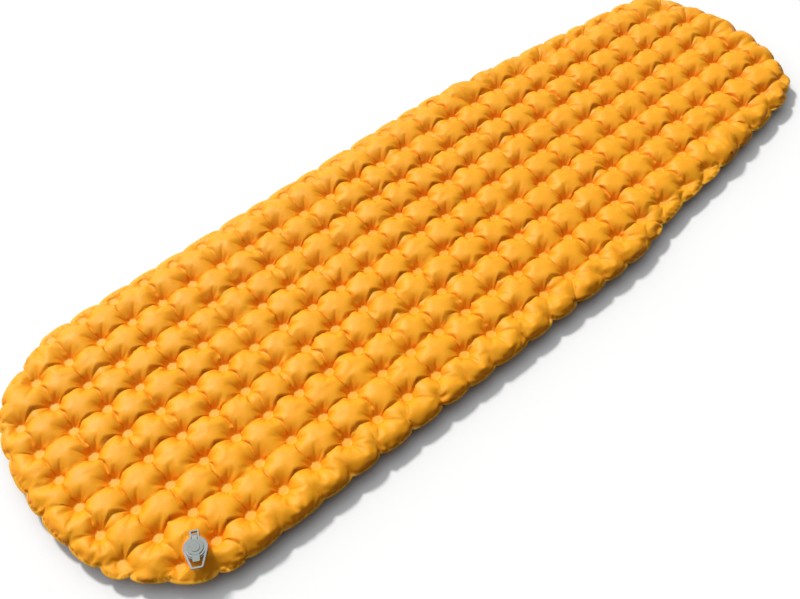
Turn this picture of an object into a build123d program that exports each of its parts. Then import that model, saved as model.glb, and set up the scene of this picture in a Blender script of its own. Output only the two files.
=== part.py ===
"""Inflatable sleeping pad: two fabric sheets welded together round the edge and
at a grid of weld dots, with a flat two-stage air valve near one head corner.

Frame: millimetres. The origin is on the floor under the middle of the pad.
+X runs from the wide head end to the narrow foot end and +Z is up.
The valve is near the head, on the -Y side.
"""

import math
import os

from build123d import *

# Pad, plan view
pad_length = 1830.0
pad_width = 627.0
head_arc_radius = 561.0
head_corner_radius = 203.0
taper_start_x = 230.0
taper_blend_radius = 600.0
foot_width = 456.0
foot_arc_radius = 474.0
foot_corner_radius = 128.0
foot_shift = 10.0  # the foot end sits this far towards +Y

# Pad, section
thickness = 52.0
mid = thickness / 2
sheet = 0.6
weld_flange = 4.0
edge_radius = 24.0

# Weld dots: a square grid that is not centred on the pad
pitch = 67.65
dot_columns = 26
dot_rows = 9
first_column_x = -852.4
first_row_y = -249.3
dot_radius = 9.0
dimple_radius = 32.0
dimple_overshoot = 1.0  # how far a dimple's cutting cone runs past the surface
dot_edge_margin = 15.0

# Valve: its place on the pad, then heights above the fabric it is welded under
valve_x = -752.3
valve_y = -252.7
valve_turn = -119.5  # degrees, the direction in which its pull loop points
seat_radius = 24.5
seat_hole_radius = 15.1
neck_bore_radius = 13.0
neck_radius = 15.0
neck_bottom = -7.0
guard_rib_width = 1.6
guard_rib_height = 1.0
flange_radius = 23.5
flange_thickness = 1.6
rim_radius = 19.0
rim_height = 3.5
rim_rounding = 0.8

# Deflate plug
plate_bottom = 3.6
plate_top = 5.0
pull_ring_radius = 20.0
pull_ring_width = 3.2
pull_loop_reach = 35.6
pull_loop_width = 21.5
pull_loop_corner = 4.0
plug_disc_radius = 16.4
plate_rounding = 0.5
skirt_top_radius = 12.5
skirt_bottom_radius = 12.1
skirt_bottom = -4.5
skirt_inner_radius = 10.0
port_radius = 7.0
port_outer_radius = 8.4
web_bottom = -3.4
web_top = -2.2
air_holes = 6
air_hole_circle = 4.4
air_hole_radius = 1.1
stem_hole_radius = 1.4
seal_height = 1.6
seal_ring_radius = 12.0
seal_section_radius = 0.9
seal_play = 0.05

# Straps: flexible, and each one folds at the hinge line of the part it holds
tab_width = 15.0
tab_slot_width = 9.6
tab_slot_start = 14.0
tab_slot_end = 28.4
tab_bottom = 0.2
tab_top = 1.6
plug_hinge_reach = 29.9
plug_hinge_height = 3.6
plug_fold_radius = 1.5
cap_hinge_reach = 22.5
cap_hinge_height = 5.8
cap_fold_radius = 0.9
anchor_bar_length = 3.4
anchor_bar_top = 4.8
cap_strap_width = 8.2
cap_strap_top = 6.2

# Inflate cap
cap_disc_radius = 13.0
cap_disc_bottom = 5.2
cap_disc_top = 6.4
cap_button_radius = 7.5
cap_button_top = 7.2
cap_rounding = 0.4
cap_plug_radius = 6.75
cap_plug_inner_radius = 5.4
cap_plug_bottom = 3.2
tongue_reach = 24.3
tongue_width = 12.0
tongue_corner = 2.5

# Check diaphragm, a silicone disc with a snap-in stem
diaphragm_radius = 6.8
diaphragm_thickness = 0.8
diaphragm_gap = 0.05
stem_radius = 1.3
stem_head_radius = 2.1
stem_head_bottom = -0.4
stem_head_top = 0.6

half_width = pad_width / 2
half_length = pad_length / 2
turn = math.radians(valve_turn)

# The valve's own planes: one flat on the fabric with x towards the pull loop,
# one upright through the valve's centre line with x the same way and y up
valve = Plane(
    origin=(valve_x, valve_y, thickness),
    x_dir=(math.cos(turn), math.sin(turn), 0),
    z_dir=(0, 0, 1),
)
valve_section = Plane(origin=valve.origin, x_dir=valve.x_dir, z_dir=-valve.y_dir)
valve_axis = Axis(valve.origin, valve.z_dir)


def sagitta(radius, half_chord):
    """How far an arc bulges beyond its chord."""
    return radius - math.sqrt(radius**2 - half_chord**2)


def pad_outline(inset):
    """The pad's plan outline, drawn this far inside its edge."""
    head_corner_x = -half_length + sagitta(head_arc_radius, half_width)
    foot_corner_x = half_length - sagitta(foot_arc_radius, foot_width / 2)
    foot_near_y = foot_shift - foot_width / 2
    foot_far_y = foot_shift + foot_width / 2
    with BuildSketch() as outline:
        with BuildLine():
            ThreePointArc(
                (head_corner_x, half_width),
                (-half_length, 0),
                (head_corner_x, -half_width),
            )
            Polyline(
                (head_corner_x, -half_width),
                (taper_start_x, -half_width),
                (foot_corner_x, foot_near_y),
            )
            ThreePointArc(
                (foot_corner_x, foot_near_y),
                (half_length, foot_shift),
                (foot_corner_x, foot_far_y),
            )
            Polyline(
                (foot_corner_x, foot_far_y),
                (taper_start_x, half_width),
                (head_corner_x, half_width),
            )
        make_face()
        fillet(outline.vertices().sort_by(Axis.X)[4:6], foot_corner_radius)
        fillet(outline.vertices().sort_by(Axis.X)[2:4], taper_blend_radius)
        fillet(outline.vertices().sort_by(Axis.X)[0:2], head_corner_radius)
        if inset > 0:
            offset(amount=-inset)
    return outline.sketch


def dot_places():
    """Plan positions of the weld dots: the grid points well inside the outline."""
    allowed = pad_outline(dot_edge_margin).face()
    places = []
    for column in range(dot_columns):
        for row in range(dot_rows):
            place = (first_column_x + column * pitch, first_row_y + row * pitch)
            if allowed.is_inside(Vector(*place, 0)):
                places.append(place)
    return places


dots = dot_places()
dimple_slope = (dimple_radius - dot_radius) / (mid - sheet)


def dimpled_half(skin):
    """The upper half of the inflated pad, drawn this far inside its surface.

    A dimple narrows down from the surface to each weld dot at mid height.
    """
    floor = mid + sheet - skin
    rise = thickness + dimple_overshoot - floor
    foot_radius = dot_radius + skin * (math.hypot(1, dimple_slope) - dimple_slope)
    with BuildPart() as half:
        with BuildSketch(Plane.XY.offset(mid)):
            add(pad_outline(weld_flange + skin))
        extrude(amount=mid - skin)
        fillet(half.faces().sort_by(Axis.Z)[-1].edges(), edge_radius - skin)
        with Locations(*[(x, y, floor) for x, y in dots]):
            Cone(
                bottom_radius=foot_radius,
                top_radius=foot_radius + rise * dimple_slope,
                height=rise,
                align=(Align.CENTER, Align.CENTER, Align.MIN),
                mode=Mode.SUBTRACT,
            )
    return half.part


outer_half = dimpled_half(0)
inner_half = dimpled_half(sheet)


# ---- Bottom sheet: the fabric underneath, the mirror image of a plain top sheet
with BuildPart() as plain_sheet:
    with BuildSketch(Plane.XY.offset(mid)):
        add(pad_outline(0))
    extrude(amount=sheet)
    add(outer_half)
    add(inner_half, mode=Mode.SUBTRACT)

with BuildPart() as bottom_sheet:
    mirror(plain_sheet.part, about=Plane.XY.offset(mid))


# ---- Top sheet: the same, with a flat round seat and a hole for the valve
with BuildPart() as seated_cavity:
    add(inner_half)
    with BuildSketch(Plane(valve.origin).offset(-sheet)):
        Circle(seat_radius - sheet)
    extrude(amount=-(mid - sheet))

with BuildPart() as top_sheet:
    with BuildSketch(Plane.XY.offset(mid)):
        add(pad_outline(0))
    extrude(amount=sheet)
    add(outer_half)
    with BuildSketch(valve):
        Circle(seat_radius)
    extrude(amount=-mid)
    add(seated_cavity.part, mode=Mode.SUBTRACT)
    with BuildSketch(valve):
        Circle(seat_hole_radius)
    extrude(amount=-2 * sheet, mode=Mode.SUBTRACT)


def strap_bar(reach, height, radius, width):
    """The rounded fold of a strap: a bar along the hinge line."""
    with BuildPart() as bar:
        with BuildSketch(valve_section):
            with Locations((-reach, height)):
                Circle(radius)
        extrude(amount=width / 2, both=True)
    return bar.part


def tab_slot():
    """The slot down the middle of the strap tab."""
    with BuildSketch() as slot:
        with Locations((-(tab_slot_start + tab_slot_end) / 2, 0)):
            RectangleRounded(tab_slot_end - tab_slot_start, tab_slot_width, 1.0)
    return slot.sketch


# ---- Valve base: weld flange, neck, guard ribs, rim and the lower strap tab
with BuildPart() as valve_base:
    with BuildSketch(valve_section):
        with BuildLine():
            Polyline(
                (neck_bore_radius, neck_bottom),
                (neck_radius, neck_bottom),
                (neck_radius, -sheet - flange_thickness),
                (flange_radius, -sheet - flange_thickness),
                (flange_radius, -sheet),
                (neck_radius, -sheet),
                (neck_radius, 0),
                (rim_radius, 0),
                (rim_radius, rim_height),
                (neck_bore_radius, rim_height),
                close=True,
            )
        make_face()
    revolve(axis=valve_axis)
    fillet(valve_base.edges().group_by(Axis.Z)[-1].sort_by(SortBy.RADIUS)[-1], rim_rounding)
    with BuildSketch(valve.offset(neck_bottom)):
        Rectangle(2 * neck_bore_radius + 1, guard_rib_width)
        Rectangle(guard_rib_width, 2 * neck_bore_radius + 1)
    extrude(amount=guard_rib_height)
    tab_end = plug_hinge_reach + plug_fold_radius
    with BuildSketch(valve.offset(tab_bottom)):
        with Locations((-(tab_end + tab_slot_start) / 2, 0)):
            RectangleRounded(tab_end - tab_slot_start, tab_width, 1.4)
        with Locations((-(rim_radius + tab_slot_end) / 2, 0)):
            Rectangle(tab_slot_end - rim_radius, tab_slot_width, mode=Mode.SUBTRACT)
    extrude(amount=tab_top - tab_bottom)


def pull_outline(inset):
    """The pear-shaped outline of the pull ring and its loop."""
    loop_length = 3 * pull_loop_corner
    with BuildSketch() as pear:
        Circle(pull_ring_radius)
        with Locations((pull_loop_reach - loop_length / 2, 0)):
            RectangleRounded(loop_length, pull_loop_width, pull_loop_corner)
        make_hull()
        if inset > 0:
            offset(amount=-inset)
    return pear.sketch


# ---- Deflate plug: plate with pull ring, skirt with a seal groove, inflation port
with BuildSketch() as pull_opening:
    add(pull_outline(pull_ring_width))
    Circle(plug_disc_radius, mode=Mode.SUBTRACT)
    with Locations((-pull_ring_radius + pull_ring_width, 0)):
        Rectangle(2 * pull_ring_radius, 3 * pull_ring_radius, mode=Mode.SUBTRACT)

with BuildPart() as deflate_plug:
    with BuildSketch(valve.offset(plate_bottom)):
        add(pull_outline(0))
        add(pull_opening.sketch, mode=Mode.SUBTRACT)
        add(tab_slot(), mode=Mode.SUBTRACT)
    extrude(amount=plate_top - plate_bottom)
    plate_rim = deflate_plug.faces().sort_by(Axis.Z)[-1].outer_wire().edges()
    fillet(plate_rim.filter_by(GeomType.LINE) + plate_rim.filter_by(GeomType.CIRCLE), plate_rounding)
    with BuildSketch(valve_section):
        with BuildLine():
            Polyline(
                (skirt_inner_radius, plate_bottom),
                (skirt_inner_radius, skirt_bottom),
                (skirt_bottom_radius, skirt_bottom),
                (skirt_top_radius, plate_bottom),
                close=True,
            )
        make_face()
        with BuildLine():
            Polyline(
                (0, web_bottom),
                (port_outer_radius, web_bottom),
                (port_outer_radius, plate_bottom),
                (port_radius, plate_bottom),
                (port_radius, web_top),
                (0, web_top),
                close=True,
            )
        make_face()
        with Locations((seal_ring_radius + seal_section_radius, seal_height)):
            Rectangle(
                4 * seal_section_radius + 2 * seal_play,
                2 * (seal_section_radius + seal_play),
                mode=Mode.SUBTRACT,
            )
    revolve(axis=valve_axis)
    with BuildSketch(valve.offset(web_top)):
        Circle(stem_hole_radius)
        with PolarLocations(air_hole_circle, air_holes):
            Circle(air_hole_radius)
    extrude(amount=web_bottom - web_top, mode=Mode.SUBTRACT)
    with BuildSketch(valve.offset(plate_bottom)):
        Circle(port_radius)
    extrude(amount=plate_top - plate_bottom, mode=Mode.SUBTRACT)


# ---- Plug strap: the slotted tab that the deflate plug swings on
with BuildPart() as plug_strap:
    with BuildSketch(valve.offset(plate_bottom)):
        with Locations((-(plug_hinge_reach + tab_slot_start) / 2, 0)):
            Rectangle(plug_hinge_reach - tab_slot_start, tab_width)
        Circle(pull_ring_radius, mode=Mode.SUBTRACT)
        add(tab_slot(), mode=Mode.SUBTRACT)
        with Locations((-cap_hinge_reach, 0)):
            Rectangle(anchor_bar_length, tab_slot_width + 1)
    extrude(amount=plate_top - plate_bottom)
    with BuildSketch(valve.offset(anchor_bar_top)):
        with Locations((-cap_hinge_reach, 0)):
            Rectangle(anchor_bar_length, tab_slot_width)
    extrude(amount=plate_top - anchor_bar_top, mode=Mode.SUBTRACT)
    add(strap_bar(plug_hinge_reach, plug_hinge_height, plug_fold_radius, tab_width))


# ---- Plug seal: an O-ring in the skirt's groove
with BuildPart(valve.offset(seal_height)) as plug_seal:
    Torus(seal_ring_radius, seal_section_radius)


# ---- Check diaphragm: lets air in past the web and closes under pressure
with BuildPart() as check_diaphragm:
    disc_top = web_bottom - diaphragm_gap
    with BuildSketch(valve.offset(disc_top)):
        Circle(diaphragm_radius)
    extrude(amount=-diaphragm_thickness)
    with BuildSketch(valve.offset(disc_top)):
        Circle(stem_radius)
    extrude(amount=stem_head_bottom - disc_top)
    with BuildSketch(valve.offset(stem_head_bottom)):
        Circle(stem_head_radius)
    extrude(amount=stem_head_top - stem_head_bottom, taper=20)


# ---- Inflate cap: disc with a raised button, a push-in plug and a finger tongue
with BuildPart() as inflate_cap:
    with BuildSketch(valve.offset(cap_disc_bottom)):
        Circle(cap_disc_radius)
    extrude(amount=cap_disc_top - cap_disc_bottom)
    fillet(inflate_cap.faces().sort_by(Axis.Z)[-1].edges(), cap_rounding)
    with BuildSketch(valve.offset(cap_disc_top)):
        Circle(cap_button_radius)
    extrude(amount=cap_button_top - cap_disc_top)
    fillet(inflate_cap.faces().sort_by(Axis.Z)[-1].edges(), cap_rounding)
    with BuildSketch(valve.offset(cap_disc_bottom)):
        with Locations((tongue_reach / 2, 0)):
            RectangleRounded(tongue_reach, tongue_width, tongue_corner)
    extrude(amount=cap_strap_top - cap_disc_bottom)
    with BuildSketch(valve.offset(cap_disc_bottom)):
        Circle(cap_plug_radius)
        Circle(cap_plug_inner_radius, mode=Mode.SUBTRACT)
    extrude(amount=cap_plug_bottom - cap_disc_bottom)


# ---- Cap strap: the narrow strap that the cap swings on
with BuildPart() as cap_strap:
    with BuildSketch(valve.offset(cap_disc_bottom)):
        with Locations((-cap_hinge_reach / 2, 0)):
            Rectangle(cap_hinge_reach, cap_strap_width)
        Circle(cap_disc_radius, mode=Mode.SUBTRACT)
        with Locations((cap_hinge_reach / 2, 0)):
            Rectangle(cap_hinge_reach, cap_strap_width, mode=Mode.SUBTRACT)
    extrude(amount=cap_strap_top - cap_disc_bottom)
    add(strap_bar(cap_hinge_reach, cap_hinge_height, cap_fold_radius, cap_strap_width))


pieces = {
    "top_sheet": top_sheet,
    "bottom_sheet": bottom_sheet,
    "valve_base": valve_base,
    "deflate_plug": deflate_plug,
    "plug_strap": plug_strap,
    "plug_seal": plug_seal,
    "check_diaphragm": check_diaphragm,
    "inflate_cap": inflate_cap,
    "cap_strap": cap_strap,
}

os.makedirs("parts", exist_ok=True)
for name, piece in pieces.items():
    piece.part.label = name
    export_step(piece.part, f"parts/{name}.step")
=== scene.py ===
"""Inflatable sleeping pad on a pale floor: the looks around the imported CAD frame."""
import concurrent.futures
import math

import bpy
import numpy as np
from mathutils import Euler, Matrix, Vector


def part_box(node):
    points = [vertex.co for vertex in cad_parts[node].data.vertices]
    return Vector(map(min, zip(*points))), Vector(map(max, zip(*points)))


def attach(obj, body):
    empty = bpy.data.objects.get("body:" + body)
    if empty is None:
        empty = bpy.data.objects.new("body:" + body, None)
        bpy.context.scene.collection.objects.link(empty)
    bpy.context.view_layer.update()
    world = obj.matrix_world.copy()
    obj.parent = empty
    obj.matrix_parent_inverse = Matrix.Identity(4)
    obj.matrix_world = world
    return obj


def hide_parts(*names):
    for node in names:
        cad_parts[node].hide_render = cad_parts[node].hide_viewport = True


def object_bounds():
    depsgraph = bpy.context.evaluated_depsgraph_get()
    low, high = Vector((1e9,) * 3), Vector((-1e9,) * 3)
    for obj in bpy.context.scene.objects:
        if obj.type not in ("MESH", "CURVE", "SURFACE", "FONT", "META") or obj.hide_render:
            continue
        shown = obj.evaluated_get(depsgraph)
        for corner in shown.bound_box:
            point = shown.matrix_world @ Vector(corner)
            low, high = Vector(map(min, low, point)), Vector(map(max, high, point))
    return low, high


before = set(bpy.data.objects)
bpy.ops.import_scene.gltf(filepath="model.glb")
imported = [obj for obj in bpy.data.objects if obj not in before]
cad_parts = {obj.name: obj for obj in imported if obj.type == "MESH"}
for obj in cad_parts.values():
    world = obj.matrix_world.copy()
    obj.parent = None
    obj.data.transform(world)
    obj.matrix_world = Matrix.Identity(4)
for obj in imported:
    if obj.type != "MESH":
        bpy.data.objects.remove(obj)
cad_low, cad_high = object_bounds()

# ---- Sizes, in metres -------------------------------------------------------
fabric = 0.0006  # the CAD sheets' thickness
tolerance = 0.00002  # how near a CAD point lies to the height it is meant for
weld_width = 0.004  # flat welded edge outside the seam
weld_lift = 0.0003  # keeps the two sheets apart where they are welded
dot_radius = 0.009
floor_gap = 0.0001

# The fabric round the valve
valve_clear_radius = 0.0205  # fabric held flat under the valve's rim
valve_hole_radius = 0.0165
valve_low_radius = 0.042  # fabric kept below the valve's tabs inside this
valve_sink = 0.0002  # how far the held fabric lies below the CAD's crown
valve_spare = 0.05  # further length beside the valve
flange_shown_radius = 0.0185

# The seam: drawn in between its lobes, and further in at a few tucks
seam_points = 2600
lobe_depth = (0.005, 0.011)
lobe_share = 0.5  # the rounded part of that depth
notch_share = 0.6  # the sharp part
notch_width = 0.006
notch_scatter = 0.16  # how far a notch strays, in lobes
dot_clearance = 0.004  # the seam stays this far from the weld dots
tucks = (  # where the real outline runs inside the CAD one: place, depth, reach
    ((-0.828, -0.250), 0.012, 0.060),
    ((-0.795, 0.295), 0.013, 0.070),
    ((0.862, -0.180), 0.013, 0.055),
    ((0.380, -0.300), 0.010, 0.090),
)

# The mesh: one round grid of points for each dot
rays = 48  # spokes round each dot, a multiple of 8
dot_rings = 3
rings = 11
ring_crowding = 1.12  # rings lie closer together near the dot
seam_snap = 0.0012  # mesh points this near the seam are moved onto it
seam_slide = 0.001  # how far along the seam they may go from its nearest point
search_reach = 0.11  # how far a cell looks for the seam
far = 9.0  # stands for a distance to a seam that is out of reach
cell_margin = 0.75  # cells are kept up to this far outside the seam, in pitches
same_place = 0.1  # a cell this near a CAD dot holds it, in pitches

# How much longer the flat fabric is than the inflated pad
growth = 0.165
edge_growth = 0.18  # further length between the last dots and the seam
edge_bias = 1.5  # above 1, more of that length lies near the seam
spare_variety = 0.015  # uneven length from cell to cell
seam_draw = 0.13  # length taken up by the seam where it is drawn in
seam_reach = 0.030

# Inflation
steps = 300
pressure_step = 0.00003  # push per step at the start
pressure_end = 0.0000006  # and at the end
slowing = 0.9
bending = 0.004
slack_resistance = 0.6  # how much threads resist being shortened
thread_passes = 4
thread_ease = 1.3
top_speed = 0.001
pillow_height = 0.0215  # above the welds
edge_taper = 0.040  # the pad rounds off over this width towards its seam
ceiling_depth = 0.004  # the push fades this far below that height
start_height = 0.020  # the cloth's height before it is blown up
start_reach = 0.035
start_bulge = 0.6
start_noise = 0.0002
seed_wrinkle = 0.0012
wrinkle_waves = (3, 5, 7, 8, 9, 11)  # wrinkles round a dot
wrinkle_reach = 0.7  # in pitches
least_height = 0.0002
random_seed = 11

# Floor, light and camera
floor_size = 18.0
key_strength = 2.55
key_from = (0.0, 0.95, 1.0)
sky_from = (-0.1, 0.72, 0.68)  # the brightest part of the sky, behind the pad
sky_fade = {"From Min": -0.1, "From Max": 0.9, "To Min": 0.02, "To Max": 0.96}
backdrop_strength = 0.95  # the sky as the camera sees it
camera_place = (-0.9328, -1.0621, 1.5847)
camera_turn = (38.488, 2.639, -40.764)  # degrees
camera_lens = 47.74  # millimetres, on a sensor 36 mm wide

sheet_low, sheet_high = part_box("top_sheet")
mid = sheet_low.z
crown = sheet_high.z


# ---- What the CAD frame says -------------------------------------------------
def mesh_arrays(node):
    """Vertices and triangles of a CAD node, with vertices in the same place joined."""
    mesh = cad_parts[node].data
    mesh.calc_loop_triangles()
    points = np.zeros(len(mesh.vertices) * 3, np.float32)
    mesh.vertices.foreach_get("co", points)
    points = points.reshape(-1, 3)
    triangles = np.zeros(len(mesh.loop_triangles) * 3, np.int32)
    mesh.loop_triangles.foreach_get("vertices", triangles)
    keys, where = np.unique(np.round(points * 1e6).astype(np.int64), axis=0, return_inverse=True)
    return keys / 1e6, where.ravel()[triangles.reshape(-1, 3)]


def read_pad():
    """The weld dots' centres and the pad's outline, from the CAD top sheet."""
    points, triangles = mesh_arrays("top_sheet")
    z = points[triangles, 2]
    weld_top = np.all(np.abs(z - (mid + fabric)) < tolerance, axis=1)
    flat = triangles[weld_top]
    label = np.arange(len(points))
    while True:
        least = label[flat].min(axis=1)
        before = label.copy()
        for corner in range(3):
            np.minimum.at(label, flat[:, corner], least)
        if np.array_equal(before, label):
            break
    dots = []
    for island in np.unique(label[flat]):
        spot = points[np.unique(flat[label[flat[:, 0]] == island])][:, :2]
        size = spot.max(axis=0) - spot.min(axis=0)
        if size.max() < 3 * dot_radius:
            dots.append((spot.max(axis=0) + spot.min(axis=0)) / 2)
    low_edge = np.abs(z - mid) < tolerance
    high_edge = np.abs(z - (mid + fabric)) < tolerance
    wall = np.all(low_edge | high_edge, axis=1) & low_edge.any(axis=1) & high_edge.any(axis=1)
    rim = points[np.unique(triangles[wall])][:, :2]
    rim = np.unique(np.round(rim, 5), axis=0)
    rim = rim[np.argsort(np.arctan2(rim[:, 1], rim[:, 0]))]
    return np.array(sorted(map(tuple, dots))), rim


def resample(loop, count):
    """A closed loop as this many evenly spaced points."""
    closed = np.vstack([loop, loop[:1]])
    reach = np.concatenate([[0], np.cumsum(np.linalg.norm(np.diff(closed, axis=0), axis=1))])
    at = np.linspace(0, reach[-1], count, endpoint=False)
    return np.stack([np.interp(at, reach, closed[:, k]) for k in (0, 1)], axis=1), reach[-1]


def loop_normals(loop):
    """Outward normals of a counter-clockwise closed loop."""
    along = np.roll(loop, -1, axis=0) - np.roll(loop, 1, axis=0)
    out = np.stack([along[:, 1], -along[:, 0]], axis=1)
    return out / np.linalg.norm(out, axis=1, keepdims=True)


def scalloped_seam(rim, dots, pitch):
    """The seam: the CAD outline drawn in by the welded edge, puckered into one lobe per dot."""
    loop, length = resample(rim, seam_points)
    out = loop_normals(loop)
    lobes = round(length / pitch)
    rng = np.random.default_rng(random_seed)
    notch = (np.arange(lobes) + rng.uniform(-notch_scatter, notch_scatter, lobes)) / lobes
    depth = rng.uniform(lobe_depth[0], lobe_depth[1], lobes)
    at = np.arange(len(loop)) / len(loop)
    away = np.abs((at[:, None] - notch[None, :] + 0.5) % 1 - 0.5) * length
    round_lobe = lobe_share * np.clip(1 - away / (0.5 * pitch), 0, 1) ** 2
    cusp = notch_share * np.exp(-away / notch_width)
    inward = (depth[None, :] * (round_lobe + cusp)).sum(axis=1)
    for spot, tuck, reach in tucks:
        away = np.linalg.norm(loop - np.array(spot), axis=1)
        inward += tuck * np.exp(-(away / reach) ** 2)
    room = np.array([np.linalg.norm(dots - point, axis=1).min() for point in loop])
    most = room - weld_width - dot_radius - dot_clearance
    inward = np.minimum(inward, np.maximum(most, 0))
    seam = loop - out * (weld_width + inward)[:, None]
    return seam, loop_normals(seam)


def ring_of_spokes():
    """Unit spoke directions that meet each side of a square at even spacing, and their reach to it."""
    per_side = rays // 4
    step = np.arange(rays)
    side = step // per_side
    across = 2 * (step % per_side) / per_side - 1
    corner = side * math.pi / 2 + np.arctan(across)
    reach = np.sqrt(1 + across**2)
    return np.stack([np.cos(corner), np.sin(corner)], axis=1), reach


def cell_grid(pitch, scale, disc_scale):
    """One lattice cell as spokes by rings: the weld disc, then out to the square."""
    spoke, reach = ring_of_spokes()
    disc = np.arange(1, dot_rings + 1) / dot_rings * dot_radius * disc_scale
    outer = reach * pitch * scale / 2
    share = (np.arange(1, rings + 1) / rings) ** ring_crowding
    lengths = np.concatenate(
        [np.tile(disc, (rays, 1)),
         dot_radius * disc_scale + (outer[:, None] - dot_radius * disc_scale) * share],
        axis=1,
    )
    return spoke[:, None, :] * lengths[:, :, None]


def near_seam(places, seam, out):
    """Distance inside the seam, the nearest point on it and that point's place along it."""
    inside = np.full(places.shape[:2], far)
    nearest = np.array(places)
    index = np.zeros(places.shape[:2], int)
    along = np.stack([-out[:, 1], out[:, 0]], axis=1)
    for c, cell in enumerate(places):
        centre = cell.mean(axis=0)
        close = np.where(np.linalg.norm(seam - centre, axis=1) < search_reach)[0]
        if len(close) == 0:
            if not in_loop(centre, seam):
                inside[c] = -far
            continue
        gap = np.linalg.norm(cell[:, None] - seam[close][None], axis=2)
        best = close[gap.argmin(axis=1)]
        offset = cell - seam[best]
        slide = (offset * along[best]).sum(axis=1)
        inside[c] = -(offset * out[best]).sum(axis=1)
        nearest[c] = seam[best] + along[best] * np.clip(slide, -seam_slide, seam_slide)[:, None]
        index[c] = best
    return inside, nearest, index


def in_loop(point, loop):
    """True if a point lies inside a closed loop, by the winding of its angles."""
    turn = np.arctan2(loop[:, 1] - point[1], loop[:, 0] - point[0])
    steps = (np.roll(turn, -1) - turn + np.pi) % (2 * np.pi) - np.pi
    return abs(steps.sum()) > np.pi


def plan_mesh(dots, rim):
    """The pad's flat mesh: places, flat-fabric places, what is pinned and what is used."""
    spread = dots.max(axis=0) - dots.min(axis=0)
    pitch = np.median(np.diff(np.unique(np.round(dots[:, 0], 4))))
    pitch = spread[0] / round(spread[0] / pitch)
    seam, out = scalloped_seam(rim, dots, pitch)
    first = dots.min(axis=0) - 2 * pitch
    columns, rows = np.round(spread / pitch).astype(int) + 5
    centres = np.array([first + (i * pitch, j * pitch) for i in range(columns) for j in range(rows)])
    edge_gap = np.array([np.linalg.norm(seam - c, axis=1).min() for c in centres])
    inner = np.array([in_loop(c, seam) for c in centres])
    centres = centres[inner | (edge_gap < cell_margin * pitch)]
    welded = np.array([np.linalg.norm(dots - c, axis=1).min() < same_place * pitch for c in centres])
    shape = (len(centres), rays, dot_rings + rings)

    plan = cell_grid(pitch, 1.0, 1.0)[None] + centres[:, None, None, :]
    flat_welded = cell_grid(pitch, 1 + growth, 1.0)
    flat_free = cell_grid(pitch, 1 + growth, 1 + growth)
    flat = np.where(welded[:, None, None, None], flat_welded[None], flat_free[None])
    flat = flat + centres[:, None, None, :] * (1 + growth)

    places = plan.reshape(shape[0], -1, 2)
    inside, nearest, index = near_seam(places, seam, out)
    used = inside > -seam_snap
    on_seam = np.abs(inside) < seam_snap

    # number the places, so that the sides that cells share are one row of points
    number = np.arange(shape[0] * rays * shape[2]).reshape(shape)
    side_step = pitch / (rays // 4)
    keys = np.round((plan[:, :, -1] - first) / side_step * 2).astype(np.int64).reshape(-1, 2)
    _, shared = np.unique(keys, axis=0, return_inverse=True)
    number[:, :, -1] = shared.reshape(shape[:2]) + number.size
    hub = number.max() + 1 + np.arange(shape[0])  # one more point at each dot's centre
    hub_inside, hub_nearest, _ = near_seam(centres[:, None, :], seam, out)
    used = used.reshape(shape)
    live = np.zeros(hub[-1] + 1, bool)
    live[number.ravel()] = used.ravel()
    live[hub] = hub_inside[:, 0] > -seam_snap
    following = np.roll(number, -1, axis=1)
    quads = np.stack([number[:, :, :-1], number[:, :, 1:], following[:, :, 1:], following[:, :, :-1]],
                     axis=-1).reshape(-1, 4)
    fans = np.stack([np.broadcast_to(hub[:, None], shape[:2]), number[:, :, 0], following[:, :, 0]],
                    axis=-1).reshape(-1, 3)
    corners = live[quads].sum(axis=1)
    cut = np.array([[v for v in quad if live[v]] for quad in quads[corners == 3]]).reshape(-1, 3)
    quads = quads[corners == 4]
    tris = np.concatenate([cut, fans[live[fans].all(axis=1)]])

    # points on the border or close to the seam move onto it, and faces lying along it go
    seam_point = np.zeros(len(live), bool)
    seam_point[number.ravel()] = on_seam.ravel()
    seam_point[hub] = np.abs(hub_inside[:, 0]) < seam_snap
    seam_point &= live
    seam_point[border_edges(quads, tris).ravel()] = True
    quads = quads[~seam_point[quads].all(axis=1)]
    tris = tris[~seam_point[tris].all(axis=1)]
    on_seam = seam_point[number].reshape(shape[0], -1)
    places = np.where(on_seam[:, :, None], nearest, places)
    hub_place = np.where(seam_point[hub][:, None], hub_nearest[:, 0], centres)

    # more fabric between the last dots and the seam, so that the edge fills out
    gap_at = np.array([np.linalg.norm(dots - s, axis=1).min() - dot_radius for s in seam])
    gap = gap_at[index]
    depth = np.clip(1 - inside / gap, 0, 1.2)
    flat = flat.reshape(shape[0], -1, 2) + out[index] * (edge_growth * gap * depth**edge_bias)[:, :, None]
    pinned = on_seam.reshape(shape).copy()
    pinned[:, :, :dot_rings] |= welded[:, None, None]
    return {
        "shape": shape, "pitch": pitch, "welded": welded,
        "centres": centres, "places": places.reshape(shape + (2,)), "flat": flat.reshape(shape + (2,)),
        "inside": inside.reshape(shape), "number": number, "used": used, "pinned": pinned,
        "hub": hub, "hub_place": hub_place, "seam_point": seam_point, "quads": quads, "tris": tris,
    }


def border_edges(quads, tris):
    """Edges that belong to one face only, in that face's direction."""
    ends = np.concatenate([quads[:, [k, (k + 1) % 4]] for k in range(4)]
                          + [tris[:, [k, (k + 1) % 3]] for k in range(3)])
    _, first, count = np.unique(np.sort(ends, axis=1), axis=0, return_index=True, return_counts=True)
    return ends[first[count == 1]]


def join_cells(field, shared):
    """Sums a field over the outer points that neighbouring cells share, in place."""
    outer = field[:, :, -1].reshape(len(shared), -1)
    for axis in range(outer.shape[1]):
        total = np.bincount(shared, outer[:, axis])
        outer[:, axis] = total[shared]
    field[:, :, -1] = outer.reshape(field[:, :, -1].shape)


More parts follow.
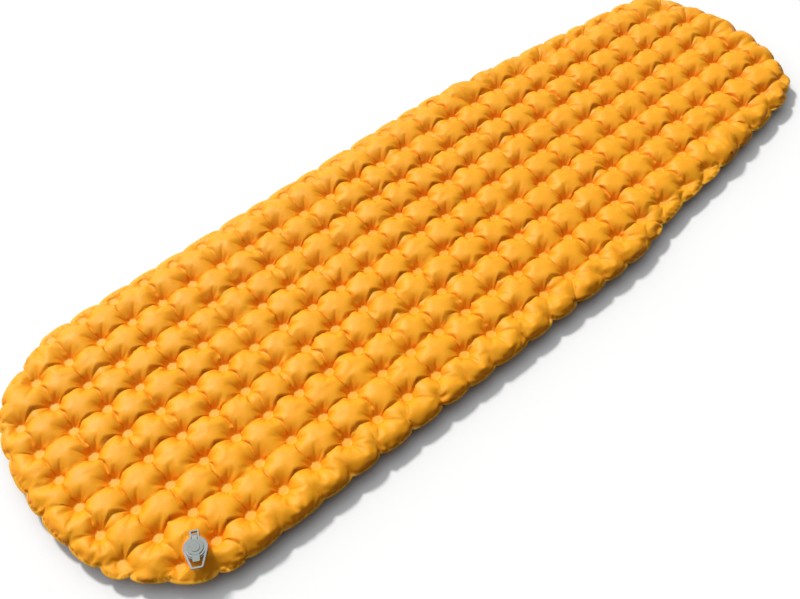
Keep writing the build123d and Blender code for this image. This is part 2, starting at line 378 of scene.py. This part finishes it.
def pick(field, family):
    """Both ends of each thread of a family."""
    turn_a, cut_a, turn_b, cut_b = family[:4]
    turned = np.roll(field, -1, axis=1)
    a = (turned if turn_a else field)[:, :, cut_a]
    b = (turned if turn_b else field)[:, :, cut_b]
    return a, b


def spread_to(total, pull, family):
    """Adds a thread's pull to both its ends, towards each other."""
    turn_a, cut_a, turn_b, cut_b = family[:4]
    total[:, :, cut_a] += np.roll(pull, 1, axis=1) if turn_a else pull
    total[:, :, cut_b] -= np.roll(pull, 1, axis=1) if turn_b else pull


def cloth_families(flat, spare, used, free):
    """The cloth's threads: along spokes, round rings and both diagonals."""
    inner = slice(None, -1)
    outer = slice(1, None)
    every = slice(None)
    families = []
    for turn_a, cut_a, turn_b, cut_b, stiffness in (
        (False, inner, False, outer, 1.0),
        (False, every, True, every, 1.0),
        (False, inner, True, outer, 0.5),
        (True, inner, False, outer, 0.5),
    ):
        family = (turn_a, cut_a, turn_b, cut_b)
        flat_a, flat_b = pick(flat, family)
        used_a, used_b = pick(used, family)
        free_a, free_b = pick(free, family)
        spare_a, spare_b = pick(spare, family)
        length = np.linalg.norm(flat_b - flat_a, axis=-1) * (spare_a + spare_b) / 2
        moving = free_a + free_b
        live = used_a & used_b & (moving > 0)
        share = np.where(live, stiffness / np.maximum(moving, 1), 0)
        weight = np.where(live, stiffness, 0)
        families.append(family + (length.astype(np.float32), share.astype(np.float32), weight))
    return families


def surface_normals(place, used, shared):
    """Unit normals of the cloth at its points."""
    inner = place[:, :, :-1]
    outer = place[:, :, 1:]
    inner_next = np.roll(inner, -1, axis=1)
    outer_next = np.roll(outer, -1, axis=1)
    patch = np.cross(outer_next - inner, inner_next - outer)
    live = used[:, :, :-1] & used[:, :, 1:]
    live &= np.roll(live, -1, axis=1)
    patch *= live[..., None]
    total = np.zeros_like(place)
    total[:, :, :-1] += patch + np.roll(patch, 1, axis=1)
    total[:, :, 1:] += patch + np.roll(patch, 1, axis=1)
    join_cells(total, shared)
    return total / (np.linalg.norm(total, axis=-1, keepdims=True) + 1e-12)


def neighbour_mean_gap(place, counts, live, shared):
    """How far each point is from the mean of its four neighbours."""
    total = np.zeros_like(place)
    hoop = place * live
    total += np.roll(hoop, 1, axis=1) + np.roll(hoop, -1, axis=1)
    total[:, :, 1:] += hoop[:, :, :-1]
    total[:, :, :-1] += hoop[:, :, 1:]
    join_cells(total, shared)
    return (total / counts - place) * live


def inflate(plan, spare, held_height, height_limit, seed, count):
    """Blows the upper sheet up: a cloth simulation of inextensible fabric under air pressure.

    Each step pushes every free point along its normal, lets the cloth straighten a
    little (bending) and then pulls each thread back to its flat length. Threads resist
    stretching fully and shortening only weakly, so spare length buckles into wrinkles.
    """
    number = plan["number"]
    used = plan["used"]
    shared = (number[:, :, -1] - number[:, :, -1].min()).ravel()
    rng = np.random.default_rng(seed)
    set_height = np.isfinite(held_height)
    free = (~(plan["pinned"] | ~used | set_height)).astype(np.float32)
    place = np.zeros(plan["shape"] + (3,), np.float32)
    place[..., :2] = plan["places"]
    from_dot = np.linalg.norm(plan["places"] - plan["centres"][:, None, None, :], axis=3)
    start = start_height * np.clip((from_dot - dot_radius) / start_reach, 0, 1) ** start_bulge
    start = np.where(plan["welded"][:, None, None], start, start_height)
    bearing = np.arange(rays) / rays * 2 * np.pi
    wobble = np.zeros(plan["shape"])
    for waves in wrinkle_waves:
        phase = rng.uniform(0, 2 * np.pi, len(wobble))
        size = rng.uniform(0, seed_wrinkle, len(wobble))
        wobble += (size[:, None] * np.sin(waves * bearing[None] + phase[:, None]))[:, :, None]
    wobble *= np.clip(from_dot / dot_radius - 1, 0, 1)
    wobble *= np.clip(1 - from_dot / (wrinkle_reach * plan["pitch"]), 0, 1)
    wobble += rng.normal(0, start_noise, number.max() + 1)[number]
    place[..., 2] = (start + wobble) * free
    place[..., 2] = np.where(set_height, held_height, place[..., 2])
    families = cloth_families(plan["flat"].astype(np.float32), spare, used, free)
    weight = np.zeros(plan["shape"])
    for family in families:
        turn_a, cut_a, turn_b, cut_b = family[:4]
        live = family[6]
        weight[:, :, cut_a] += np.roll(live, 1, axis=1) if turn_a else live
        weight[:, :, cut_b] += np.roll(live, 1, axis=1) if turn_b else live
    join_cells(weight, shared)
    ease = (thread_ease * free / np.maximum(weight, 1e-6)).astype(np.float32)[..., None]
    live = used.astype(np.float32)[..., None]
    counts = neighbour_mean_gap(np.ones_like(live), np.ones_like(live), live, shared) + live
    counts = np.maximum(counts, 1)
    free = free[..., None]
    speed = np.zeros_like(place)
    for step in range(count):
        if step % 2 == 0:
            push = surface_normals(place, used, shared)
        pressure = pressure_step * (pressure_end / pressure_step) ** (step / count)
        room = np.clip((height_limit - place[..., 2]) / ceiling_depth, 0, 1)[..., None]
        speed = (speed * slowing + push * (pressure * room)) * free
        trial = place + speed
        lap = neighbour_mean_gap(trial, counts, live, shared)
        trial -= bending * free * neighbour_mean_gap(lap, counts, live, shared)
        for _ in range(thread_passes):
            total = np.zeros_like(trial)
            for family in families:
                a, b = pick(trial, family)
                line = b - a
                long = np.sqrt(np.einsum("...k,...k->...", line, line)) + 1e-9
                strain = (long - family[4]) / long
                strain *= np.where(strain < 0, slack_resistance, 1.0) * family[5]
                spread_to(total, line * strain[..., None], family)
            join_cells(total, shared)
            trial += total * ease
        trial[..., 2] = np.clip(trial[..., 2], least_height * free[..., 0], height_limit)
        speed = trial - place
        pace = np.sqrt(np.einsum("...k,...k->...", speed, speed))[..., None]
        speed *= np.minimum(1, top_speed / np.maximum(pace, 1e-9))
        place = place + speed * free
    return place


# ---- The two fabric sheets ----------------------------------------------------
def border_loop(plan):
    """The mesh's border points in order, counter-clockwise."""
    follow = dict(border_edges(plan["quads"], plan["tris"]).tolist())
    start = next(iter(follow))
    loop = [start]
    while follow[loop[-1]] != start:
        loop.append(follow[loop[-1]])
    return np.array(loop)


def sheet_object(name, plan, place, side, hole):
    """One fabric sheet: the blown cloth with a flat welded edge outside its seam."""
    number = plan["number"]
    hub = plan["hub"]
    points = np.zeros((hub[-1] + 1, 3))
    points[number.ravel()] = place.reshape(-1, 3)
    ring = place[:, :, 0]
    seen = plan["used"][:, :, 0, None]
    hub_height = (ring * seen).sum(axis=1)[:, 2] / np.maximum(seen.sum(axis=1)[:, 0], 1)
    points[hub, :2] = plan["hub_place"]
    points[hub, 2] = np.where(plan["seam_point"][hub], 0, hub_height)
    welded = np.zeros(len(points))
    inner = plan["welded"][:, None, None] & np.ones(plan["shape"], bool)
    inner[:, :, dot_rings:] = False
    welded[number[inner]] = 1
    welded[hub[plan["welded"]]] = 1

    # the welded edge: a flat lip outside the seam, with its own thickness
    loop = border_loop(plan)
    seam = points[loop]
    away = loop_normals(seam[:, :2])
    for _ in range(6):
        away = away + np.roll(away, 1, axis=0) + np.roll(away, -1, axis=0)
        away /= np.linalg.norm(away, axis=1, keepdims=True)
    lip = np.zeros((2, len(loop), 3))
    lip[:, :, :2] = seam[:, :2] + away * weld_width
    lip[0, :, 2] = weld_lift
    points[:, 2] += weld_lift
    first = len(points)
    points = np.vstack([points, lip[0], lip[1]])
    welded = np.concatenate([welded, np.full(2 * len(loop), 2.0)])
    welded[loop] = 2.0
    step = np.arange(len(loop))
    ahead = (step + 1) % len(loop)
    top = np.stack([loop, first + step, first + ahead, loop[ahead]], axis=1)
    under = first + len(loop)
    wall = np.stack([first + step, under + step, under + ahead, first + ahead], axis=1)
    quads = np.concatenate([plan["quads"], top, wall])
    tris = plan["tris"]
    if hole is not None:
        inside = np.linalg.norm(points[:, :2] - np.array(hole)[None], axis=1) < valve_hole_radius
        quads = quads[~inside[quads].all(axis=1)]
        tris = tris[~inside[tris].all(axis=1)]
    if side < 0:
        points[:, 2] *= -mid / pillow_height  # the underside rests on the floor
    points[:, 2] += mid
    points[:, 2] = np.maximum(points[:, 2], floor_gap)
    if side < 0:
        quads = quads[:, ::-1]
        tris = tris[:, ::-1]
    return make_mesh(name, points, quads, tris, {"weld": welded})


def make_mesh(name, points, quads, tris, values):
    """A mesh object from arrays, with unused points left out and smooth shading."""
    kept = np.unique(np.concatenate([quads.ravel(), tris.ravel()]))
    renumber = np.full(len(points), -1)
    renumber[kept] = np.arange(len(kept))
    corners = np.concatenate([renumber[quads].ravel(), renumber[tris].ravel()])
    starts = np.concatenate([np.arange(len(quads)) * 4, len(quads) * 4 + np.arange(len(tris)) * 3])
    mesh = bpy.data.meshes.new(name)
    mesh.vertices.add(len(kept))
    mesh.vertices.foreach_set("co", points[kept].astype(np.float32).ravel())
    mesh.loops.add(len(corners))
    mesh.loops.foreach_set("vertex_index", corners.astype(np.int32))
    mesh.polygons.add(len(starts))
    mesh.polygons.foreach_set("loop_start", starts.astype(np.int32))
    mesh.update(calc_edges=True)
    mesh.validate()
    for key, value in values.items():
        layer = mesh.attributes.new(key, "FLOAT", "POINT")
        layer.data.foreach_set("value", value[kept].astype(np.float32))
    mesh.shade_smooth()
    obj = bpy.data.objects.new(name, mesh)
    bpy.context.scene.collection.objects.link(obj)
    return obj


def blow_sheet(plan, valve, seed):
    """The upper cloth's final places; with valve None, the lower sheet's."""
    places = plan["places"]
    held = np.full(plan["shape"], np.nan)
    short = 1 - np.clip(plan["inside"] / edge_taper, 0, 1)
    limit = pillow_height * np.sqrt(np.maximum(1 - short**2, 0.0001))
    rng = np.random.default_rng(seed)
    uneven = rng.uniform(-spare_variety, spare_variety, len(places))
    spare = 1 + uneven[:, None, None] * np.ones(plan["shape"])
    spare = spare - seam_draw * np.exp(-(np.maximum(plan["inside"], 0) / seam_reach) ** 2)
    if valve is not None:
        away = np.linalg.norm(places - np.array(valve), axis=3)
        held = np.where(away < valve_clear_radius, crown - mid - valve_sink, np.nan)
        limit = np.where(away < valve_low_radius, crown - mid - valve_sink, limit)
        spare = spare + valve_spare * np.exp(-(away / valve_low_radius) ** 2)
    count = steps
    return inflate(plan, spare.astype(np.float32), held, limit, seed, count)


dots, rim = read_pad()
plan = plan_mesh(dots, rim)
seal_low, seal_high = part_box("plug_seal")
valve_centre = ((seal_low.x + seal_high.x) / 2, (seal_low.y + seal_high.y) / 2)
with concurrent.futures.ThreadPoolExecutor(2) as pool:
    upper = pool.submit(blow_sheet, plan, valve_centre, random_seed)
    lower = pool.submit(blow_sheet, plan, None, random_seed + 1)
    top_fabric = sheet_object("top_fabric", plan, upper.result(), 1, valve_centre)
    bottom_fabric = sheet_object("bottom_fabric", plan, lower.result(), -1, None)


# ---- Materials -------------------------------------------------------------------
class Nodes:
    """A short way to write a material's nodes."""

    def __init__(self, name):
        self.material = bpy.data.materials.new(name)
        self.material.use_nodes = True
        self.tree = self.material.node_tree
        self.shader = self.tree.nodes["Principled BSDF"]
        self.place = self.add("ShaderNodeTexCoord").outputs["Object"]

    def add(self, kind, inputs=None, **settings):
        node = self.tree.nodes.new(kind)
        for key, value in settings.items():
            setattr(node, key, value)
        for key, value in (inputs or {}).items():
            self.put(node.inputs[key], value)
        return node

    def put(self, socket, value):
        if isinstance(value, bpy.types.NodeSocket):
            self.tree.links.new(value, socket)
        else:
            socket.default_value = value

    def shade(self, **inputs):
        for key, value in inputs.items():
            self.put(self.shader.inputs[key.replace("_", " ")], value)

    def maths(self, operation, a, b=0.0, clamp=False):
        node = self.add("ShaderNodeMath", operation=operation, use_clamp=clamp)
        self.put(node.inputs[0], a)
        self.put(node.inputs[1], b)
        return node.outputs[0]

    def noise(self, scale, detail=3.0, rough=0.5, stretch=(1, 1, 1)):
        where = self.add("ShaderNodeMapping", {"Vector": self.place, "Scale": stretch}).outputs[0]
        return self.add("ShaderNodeTexNoise", {"Vector": where, "Scale": scale, "Detail": detail,
                                               "Roughness": rough}).outputs["Fac"]

    def ramp(self, value, low, high, out_low=0.0, out_high=1.0):
        node = self.add("ShaderNodeMapRange", {"Value": value, "From Min": low, "From Max": high,
                                               "To Min": out_low, "To Max": out_high}, clamp=True)
        return node.outputs[0]

    def mix(self, share, a, b):
        node = self.add("ShaderNodeMix", data_type="RGBA")
        self.put(node.inputs[0], share)
        self.put(node.inputs[6], a)
        self.put(node.inputs[7], b)
        return node.outputs[2]

    def bump(self, height, distance, strength=1.0, normal=None):
        node = self.add("ShaderNodeBump", {"Height": height, "Distance": distance, "Strength": strength})
        if normal is not None:
            self.put(node.inputs["Normal"], normal)
        return node.outputs[0]

    def pointiness(self):
        return self.add("ShaderNodeNewGeometry").outputs["Pointiness"]


def rgb(red, green, blue):
    return (red, green, blue, 1.0)


def weave(n, period):
    """Plain weave: two crossing sets of threads, as a height."""
    bands = []
    for direction in ("X", "Y"):
        wave = n.add("ShaderNodeTexWave", {"Vector": n.place, "Scale": math.pi / (10 * period),
                                           "Distortion": 0.4, "Detail": 1.0}, bands_direction=direction)
        bands.append(wave.outputs["Fac"])
    return n.maths("MULTIPLY", bands[0], bands[1])


def coated_fabric(name, head, foot, lit_weld_colour, edge_colour):
    """Thin nylon with a satin coating: weave, sheen, uneven tone, painted shade on slopes, weld discs painted
    lighter as a painted highlight, worn crowns with a painted highlight and dusty specks with painted shade
    in creases.
    """
    n = Nodes(name)
    split = n.add("ShaderNodeSeparateXYZ", {"Vector": n.place})
    along = n.ramp(split.outputs["X"], cad_low.x, cad_high.x)
    colour = n.mix(along, head, foot)
    patches = n.ramp(n.noise(9.0, 4.0), 0.35, 0.65)
    colour = n.mix(n.maths("MULTIPLY", patches, 0.10), colour, fabric_deep)
    facing = n.add("ShaderNodeTexCoord").outputs["Normal"]
    tilt = n.maths("ABSOLUTE", n.add("ShaderNodeSeparateXYZ", {"Vector": facing}).outputs["Z"])
    # painted shade: sloping cloth is tinted redder and darker, standing in for the shade on slopes
    colour = n.mix(n.ramp(tilt, 0.95, 0.45, 0.0, 0.65), colour, slope_shade_colour)
    streaks = n.noise(60.0, 5.0, 0.6, (1, 6, 1))
    colour = n.mix(n.ramp(streaks, 0.45, 0.75, 0.0, 0.08), colour, fabric_pale)
    weld = n.add("ShaderNodeAttribute", attribute_name="weld").outputs["Fac"]
    disc = n.ramp(weld, 0.5, 1.0)
    lip = n.ramp(weld, 1.0, 1.9)
    # painted highlight: the flat weld discs are painted lighter than the cloth
    colour = n.mix(n.maths("MULTIPLY", disc, 0.4), colour, lit_weld_colour)
    colour = n.mix(lip, colour, edge_colour)
    point = n.pointiness()
    specks = n.ramp(n.noise(220.0, 6.0, 0.7), 0.4, 0.7, 0.1, 0.5)
    # dusty specks and painted shade: darker where the cloth is concave, in its creases
    dust_and_crease_shade = n.maths("MULTIPLY", n.ramp(point, 0.47, 0.40), specks)
    colour = n.mix(n.maths("MULTIPLY", dust_and_crease_shade, 0.35), colour, dust_and_shade_colour)
    # wear and a painted highlight: paler, rougher cloth where it is convex, on its crowns
    worn_and_highlit_crowns = n.maths("MULTIPLY", n.ramp(point, 0.52, 0.60), n.ramp(n.noise(70.0, 6.0, 0.7), 0.45, 0.7))
    colour = n.mix(n.maths("MULTIPLY", worn_and_highlit_crowns, 0.30), colour, fabric_pale)
    rough = n.maths("ADD", n.ramp(n.noise(35.0, 4.0), 0.3, 0.7, 0.42, 0.54), n.maths("MULTIPLY", worn_and_highlit_crowns, 0.1))
    ripple = n.bump(n.noise(160.0, 4.0, 0.55), 0.0006, 0.35)
    threads = n.bump(weave(n, thread_period), 0.00005, 0.5, ripple)
    n.shade(Base_Color=colour, Roughness=rough, Normal=threads, Specular_IOR_Level=0.22,
            Sheen_Weight=0.03, Sheen_Roughness=0.4, Sheen_Tint=fabric_pale,
            Coat_Weight=0.03, Coat_Roughness=0.4,
            Subsurface_Weight=0.12, Subsurface_Radius=(0.012, 0.004, 0.001), Subsurface_Scale=1.0)
    return n.material


def moulded(name, base, light, dark, rough, grain):
    """Moulded soft plastic: fine grain, uneven tone, pale worn edges and painted shade in corners."""
    n = Nodes(name)
    tone = n.ramp(n.noise(90.0, 5.0, 0.6), 0.3, 0.7)
    colour = n.mix(n.maths("MULTIPLY", tone, 0.35), base, dark)
    point = n.pointiness()
    edge = n.maths("MULTIPLY", n.ramp(point, 0.53, 0.62), n.ramp(n.noise(400.0, 5.0, 0.7), 0.3, 0.65))
    colour = n.mix(n.maths("MULTIPLY", edge, 0.6), colour, light)
    # painted shade: darker in corners and hollows, where the surface is concave
    corner_shade = n.ramp(point, 0.47, 0.38)
    colour = n.mix(n.maths("MULTIPLY", corner_shade, 0.5), colour, dark)
    uneven = n.ramp(n.noise(250.0, 5.0), 0.3, 0.7, rough - 0.06, rough + 0.08)
    n.shade(Base_Color=colour, Roughness=uneven, Specular_IOR_Level=0.45,
            Normal=n.bump(n.noise(2500.0, 3.0), 0.00002, grain),
            Subsurface_Weight=0.05, Subsurface_Radius=(0.002, 0.002, 0.002))
    return n.material


fabric_deep = rgb(0.80, 0.22, 0.004)
slope_shade_colour = rgb(0.97, 0.235, 0.002)  # painted shade: redder and darker where the cloth slopes away from level
fabric_pale = rgb(0.95, 0.52, 0.12)
dust_and_shade_colour = rgb(0.62, 0.30, 0.10)
thread_period = 0.0005
top_material = coated_fabric("coated_nylon_top", rgb(0.95, 0.395, 0.005), rgb(0.94, 0.380, 0.005),
                             rgb(0.95, 0.46, 0.05), rgb(0.96, 0.44, 0.03))
bottom_material = coated_fabric("coated_nylon_bottom", rgb(0.86, 0.32, 0.012), rgb(0.84, 0.30, 0.010),
                                rgb(0.88, 0.42, 0.06), rgb(0.93, 0.46, 0.05))
base_grey = moulded(
    "valve_grey", rgb(0.27, 0.28, 0.28), rgb(0.45, 0.46, 0.46), rgb(0.16, 0.17, 0.17), 0.42, 0.3
)
cap_grey = moulded(
    "valve_cap_grey", rgb(0.24, 0.27, 0.25), rgb(0.40, 0.43, 0.41), rgb(0.14, 0.16, 0.15), 0.45, 0.3
)
silicone = moulded(
    "silicone", rgb(0.56, 0.57, 0.56), rgb(0.70, 0.71, 0.70), rgb(0.40, 0.41, 0.40), 0.30, 0.1
)

top_fabric.data.materials.append(top_material)
bottom_fabric.data.materials.append(bottom_material)
for obj, node, slot in (
    (top_fabric, "top_sheet", "fabric_top"),
    (bottom_fabric, "bottom_sheet", "fabric_bottom"),
):
    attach(obj, "pad")
    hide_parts(node)


# ---- The valve keeps its CAD pieces, but for a trimmed copy of its base ---------------
def trimmed_base():
    """A copy of the CAD base with its weld flange drawn in, so that the puffed fabric hides it."""
    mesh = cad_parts["valve_base"].data.copy()
    mesh.name = "valve_base_shown"
    for vertex in mesh.vertices:
        away = Vector(vertex.co[:2]) - Vector(valve_centre)
        if vertex.co.z < crown and away.length > flange_shown_radius:
            away *= flange_shown_radius / away.length
            vertex.co.x = valve_centre[0] + away.x
            vertex.co.y = valve_centre[1] + away.y
    obj = bpy.data.objects.new("valve_base_shown", mesh)
    bpy.context.scene.collection.objects.link(obj)
    mesh.materials.clear()
    mesh.materials.append(base_grey)
    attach(obj, "pad")
    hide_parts("valve_base")


trimmed_base()
finishes = {
    "deflate_plug": base_grey, "plug_strap": base_grey,
    "inflate_cap": cap_grey, "cap_strap": cap_grey,
    "plug_seal": silicone, "check_diaphragm": silicone,
}
for node, finish in finishes.items():
    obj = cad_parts[node]
    obj.data.materials.clear()
    obj.data.materials.append(finish)


# ---- Floor, light and camera -------------------------------------------------------
def plain_floor():
    """A plain pale floor, well wider than the picture."""
    half = floor_size / 2
    corners = [(-half, -half, 0), (half, -half, 0), (half, half, 0), (-half, half, 0)]
    mesh = bpy.data.meshes.new("floor")
    mesh.from_pydata(corners, [], [(0, 1, 2, 3)])
    obj = bpy.data.objects.new("floor", mesh)
    bpy.context.scene.collection.objects.link(obj)
    n = Nodes("pale_floor")
    n.shade(Base_Color=rgb(0.90, 0.90, 0.90), Roughness=0.9, Specular_IOR_Level=0.1)
    mesh.materials.append(n.material)
    obj.visible_diffuse = False  # the pad's underside stays in shade


def key_light(comes_from, strength):
    """One broad sun, high behind the pad's far side."""
    light = bpy.data.lights.new("key", "SUN")
    light.energy = strength
    light.angle = 0.15
    light.color = (1.0, 0.985, 0.96)
    obj = bpy.data.objects.new("key", light)
    obj.rotation_euler = (-Vector(comes_from)).to_track_quat("-Z", "Y").to_euler()
    bpy.context.scene.collection.objects.link(obj)


def studio_light():
    """Soft light from above and behind the pad, fading towards the camera's side."""
    world = bpy.data.worlds.new("studio")
    world.use_nodes = True
    nodes = world.node_tree.nodes
    links = world.node_tree.links
    back = nodes["Background"]
    back.inputs["Color"].default_value = rgb(0.97, 0.985, 1.0)
    where = nodes.new("ShaderNodeTexCoord")
    turn = nodes.new("ShaderNodeVectorMath")
    turn.operation = "DOT_PRODUCT"
    turn.inputs[1].default_value = Vector(sky_from).normalized()
    links.new(where.outputs["Generated"], turn.inputs[0])
    fade = nodes.new("ShaderNodeMapRange")
    for key, value in sky_fade.items():
        fade.inputs[key].default_value = value
    links.new(turn.outputs["Value"], fade.inputs["Value"])
    path = nodes.new("ShaderNodeLightPath")
    pick_light = nodes.new("ShaderNodeMix")
    links.new(path.outputs["Is Camera Ray"], pick_light.inputs[0])
    links.new(fade.outputs[0], pick_light.inputs[2])
    pick_light.inputs[3].default_value = backdrop_strength
    links.new(pick_light.outputs[0], back.inputs["Strength"])
    bpy.context.scene.world = world


plain_floor()
key_light(key_from, key_strength)
studio_light()
bpy.context.scene.view_settings.view_transform = "Standard"

camera = bpy.data.cameras.new("camera")
camera.sensor_width = 36.0
camera.lens = camera_lens
camera.clip_end = 50
camera_object = bpy.data.objects.new("camera", camera)
camera_object.location = camera_place
camera_object.rotation_euler = Euler([math.radians(angle) for angle in camera_turn])
bpy.context.scene.collection.objects.link(camera_object)
bpy.context.scene.camera = camera_object

bpy.context.view_layer.update()
